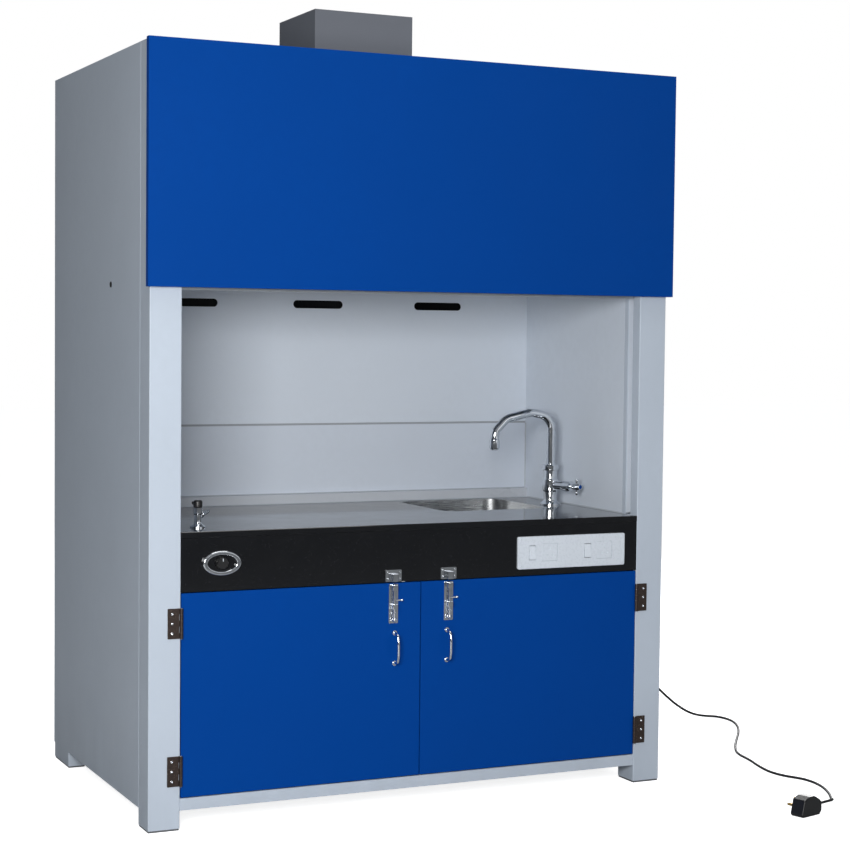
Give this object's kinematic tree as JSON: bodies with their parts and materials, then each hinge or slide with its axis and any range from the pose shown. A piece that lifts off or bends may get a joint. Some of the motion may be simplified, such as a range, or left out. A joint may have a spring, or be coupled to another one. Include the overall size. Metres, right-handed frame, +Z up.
{
  "type": "fume hood",
  "caption": "Floor-standing fume hood: ducted chamber with sliding sash, baffles, stone worktop, sink, tap, gas cock and two-door cupboard.",
  "frame": {"origin": "on the floor, in the middle of the hood's box without the mains lead", "axes": "+X to the right as seen from the front, +Y to the back, +Z up; the doors face -Y"},
  "size_m": [2.6194, 1.7809, 2.594],
  "materials": {
    "grey_paint": "pale blue-grey powder coat",
    "liner_paint": "satin white coating",
    "blue_paint": "satin blue powder coat",
    "duct_paint": "grey coat",
    "black_stone": "polished black granite",
    "stainless": "satin",
    "chrome": "polished",
    "bronze": "dark bronze finish",
    "white_plastic": "gloss",
    "trap_plastic": "matte",
    "black_plastic": "satin",
    "lead_pvc": "satin PVC",
    "pad_rubber": "matte grey",
    "glass": "clear",
    "aluminium": "grey anodised",
    "cast_iron": "primed",
    "wire_rope": "stranded",
    "copper": "copper"
  },
  "bodies": {
    "frame": {"front_column_left": "grey_paint", "front_column_right": "grey_paint", "rear_columns": "grey_paint", "foot_pads": "pad_rubber", "side_panel_left": "grey_paint", "side_panel_right": "grey_paint", "side_liners": "liner_paint", "back_panel": "grey_paint", "top_panel": "grey_paint", "duct_collar": "duct_paint", "fascia": "blue_paint", "base_pan": "grey_paint", "upper_baffle": "liner_paint", "lower_baffle": "liner_paint", "light_fitting": "white_plastic", "worktop": "black_stone", "apron": "black_stone", "sink_bowl": "stainless", "sink_waste": "chrome", "bottle_trap": "trap_plastic", "service_pipes": "copper", "tap_body": "chrome", "gas_cock_body": "chrome", "control_bezel": "chrome", "switch_plate": "white_plastic", "switch_box": "stainless", "socket_inserts": "white_plastic", "column_hinges": "bronze", "bolt_keepers": "chrome", "sash_guides": "liner_paint", "pulley_brackets": "stainless", "rope_front_spans": "wire_rope", "rope_rear_spans": "wire_rope", "rope_over_pulleys": "wire_rope", "cable_gland": "black_plastic", "cord": "lead_pvc", "plug": "lead_pvc"},
    "sash": {"sash_frame": "aluminium", "sash_glass": "glass", "sash_handle": "aluminium"},
    "counterweight_left": {"counterweight_left": "cast_iron"},
    "counterweight_right": {"counterweight_right": "cast_iron"},
    "pulley_left": {"pulley_left": "cast_iron"},
    "pulley_right": {"pulley_right": "cast_iron"},
    "door_left": {"door_left": "blue_paint", "door_hinges_left": "bronze", "pull_handle_left": "chrome", "bolt_base_left": "chrome"},
    "door_right": {"door_right": "blue_paint", "door_hinges_right": "bronze", "pull_handle_right": "chrome", "bolt_base_right": "chrome"},
    "bolt_left": {"bolt_rod_left": "chrome"},
    "bolt_right": {"bolt_rod_right": "chrome"},
    "tap_spout": {"tap_spout": "chrome"},
    "tap_handle": {"tap_handle": "chrome"},
    "gas_cock_handle": {"gas_cock_handle": "black_plastic"},
    "control_knob": {"control_knob": "black_plastic"},
    "rocker_left": {"rocker_left": "white_plastic"},
    "rocker_right": {"rocker_right": "white_plastic"}
  },
  "joints": [
    {"name": "sash_slide", "type": "slide", "parent": "frame", "child": "sash", "axis": [0, 0, 1], "range_m": [-0.725, 0], "deforming": ["rope_front_spans"]},
    {"name": "counterweight_left_slide", "type": "slide", "parent": "frame", "child": "counterweight_left", "axis": [0, 0, 1], "range_m": [0, 0.725], "deforming": ["rope_rear_spans"]},
    {"name": "pulley_left_spin", "type": "hinge", "parent": "frame", "child": "pulley_left", "pos_m": [-0.854, -0.461, 2.3], "axis": [1, 0, 0], "range_deg": [0, 1038.5]},
    {"name": "counterweight_right_slide", "type": "slide", "parent": "frame", "child": "counterweight_right", "axis": [0, 0, 1], "range_m": [0, 0.725]},
    {"name": "pulley_right_spin", "type": "hinge", "parent": "frame", "child": "pulley_right", "pos_m": [0.854, -0.461, 2.3], "axis": [1, 0, 0], "range_deg": [0, 1038.5]},
    {"name": "door_left_hinge", "type": "hinge", "parent": "frame", "child": "door_left", "pos_m": [-0.799, -0.5665, 0.41], "axis": [0, 0, 1], "range_deg": [-110, 0]},
    {"name": "bolt_left_slide", "type": "slide", "parent": "door_left", "child": "bolt_left", "axis": [0, 0, 1], "range_m": [0, 0.02]},
    {"name": "door_right_hinge", "type": "hinge", "parent": "frame", "child": "door_right", "pos_m": [0.799, -0.5665, 0.41], "axis": [0, 0, 1], "range_deg": [0, 110]},
    {"name": "bolt_right_slide", "type": "slide", "parent": "door_right", "child": "bolt_right", "axis": [0, 0, 1], "range_m": [0, 0.02]},
    {"name": "spout_swivel", "type": "hinge", "parent": "frame", "child": "tap_spout", "pos_m": [0.72, -0.101, 1.05], "axis": [0, 0, 1], "range_deg": [-60, 60]},
    {"name": "tap_handle_turn", "type": "hinge", "parent": "frame", "child": "tap_handle", "pos_m": [0.72, -0.101, 0.98], "axis": [0.342, -0.9397, 0], "range_deg": [0, 90]},
    {"name": "gas_cock_turn", "type": "hinge", "parent": "frame", "child": "gas_cock_handle", "pos_m": [-0.708, -0.443, 0.97], "axis": [0, 0, 1], "range_deg": [0, 90]},
    {"name": "control_knob_turn", "type": "hinge", "parent": "frame", "child": "control_knob", "pos_m": [-0.671, -0.561, 0.81], "axis": [0, -1, 0], "range_deg": [-270, 0]},
    {"name": "rocker_left_tilt", "type": "hinge", "parent": "frame", "child": "rocker_left", "pos_m": [0.398, -0.564, 0.7995], "axis": [1, 0, 0], "range_deg": [0, 12]},
    {"name": "rocker_right_tilt", "type": "hinge", "parent": "frame", "child": "rocker_right", "pos_m": [0.606, -0.564, 0.7995], "axis": [1, 0, 0], "range_deg": [0, 12]}
  ],
  "couplings": [
    {"joint": "counterweight_left_slide", "follows": "sash_slide", "ratio": -1},
    {"joint": "pulley_left_spin", "follows": "sash_slide", "rad_per_m": -25},
    {"joint": "counterweight_right_slide", "follows": "sash_slide", "ratio": -1},
    {"joint": "pulley_right_spin", "follows": "sash_slide", "rad_per_m": -25}
  ]
}
